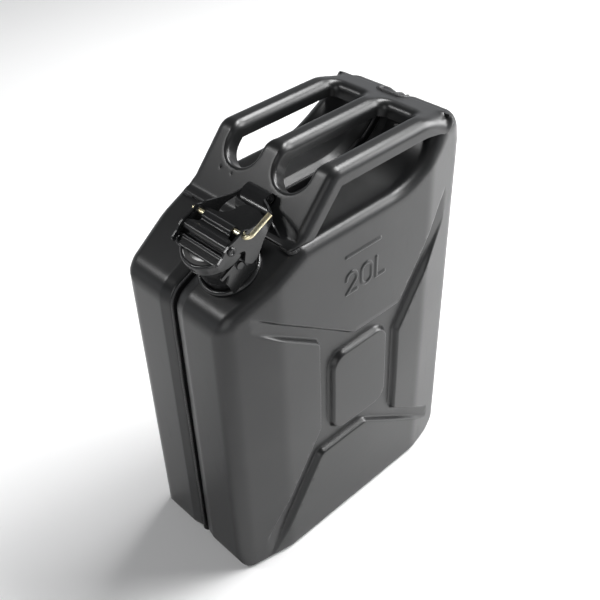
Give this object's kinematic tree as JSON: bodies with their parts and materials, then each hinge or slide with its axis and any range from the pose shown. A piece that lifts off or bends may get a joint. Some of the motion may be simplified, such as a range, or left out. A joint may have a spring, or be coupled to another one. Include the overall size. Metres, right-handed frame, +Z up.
{
  "type": "jerrycan",
  "caption": "Pressed steel fuel can with a pinwheel pressing, a bar handle and an off-centre spout under a cam lever cap.",
  "frame": {"origin": "centre of the base on the floor, under the middle of the body", "axes": "+X from the spout end to the rear, +Y to the plain half, +Z up"},
  "size_m": [0.342, 0.1794, 0.47],
  "materials": {
    "half_shell_spout_side": "satin black paint",
    "half_shell_plain_side": "satin black paint",
    "seam_weld": "satin black paint over weld",
    "handle_frame": "satin black paint",
    "handle_weld": "satin black paint over weld",
    "neck_tube": "gloss black paint",
    "neck_lip": "gloss black paint",
    "neck_base_ring": "gloss black paint",
    "neck_ear_outer": "gloss black paint",
    "neck_ear_inner": "gloss black paint",
    "vent_tube": "plain steel",
    "vent_clip": "plain steel",
    "hinge_bracket": "satin black paint",
    "hinge_pin": "satin black paint",
    "closure_strap": "satin black paint",
    "cap_shell": "gloss black paint",
    "cap_gasket": "black nitrile rubber",
    "gasket_retainer": "satin black paint",
    "cap_rivet": "satin black paint",
    "lever_pivot": "satin black paint",
    "cam_lever": "satin black paint",
    "locking_pin": "yellow passivated zinc plate"
  },
  "bodies": {
    "can": {"half_shell_spout_side": "half_shell_spout_side", "half_shell_plain_side": "half_shell_plain_side", "seam_weld": "seam_weld", "handle_frame": "handle_frame", "handle_weld": "handle_weld", "neck_tube": "neck_tube", "neck_lip": "neck_lip", "neck_base_ring": "neck_base_ring", "neck_ear_outer": "neck_ear_outer", "neck_ear_inner": "neck_ear_inner", "vent_tube": "vent_tube", "vent_clip": "vent_clip", "hinge_bracket": "hinge_bracket", "hinge_pin": "hinge_pin"},
    "closure": {"closure_strap": "closure_strap", "cap_shell": "cap_shell", "cap_gasket": "cap_gasket", "gasket_retainer": "gasket_retainer", "cap_rivet": "cap_rivet", "lever_pivot": "lever_pivot"},
    "lever": {"cam_lever": "cam_lever"},
    "pin": {"locking_pin": "locking_pin"}
  },
  "joints": [
    {"name": "cap_hinge", "type": "hinge", "parent": "can", "child": "closure", "pos_m": [-0.06309, -0.016, 0.43881], "axis": [0, 1, 0], "range_deg": [0, 95]},
    {"name": "lever_pivot", "type": "hinge", "parent": "closure", "child": "lever", "pos_m": [-0.14336, -0.034, 0.43722], "axis": [0, -1, 0], "range_deg": [0, 100]},
    {"name": "pin_slide", "type": "slide", "parent": "lever", "child": "pin", "axis": [0, -1, 0], "range_m": [0, 0.065]}
  ]
}
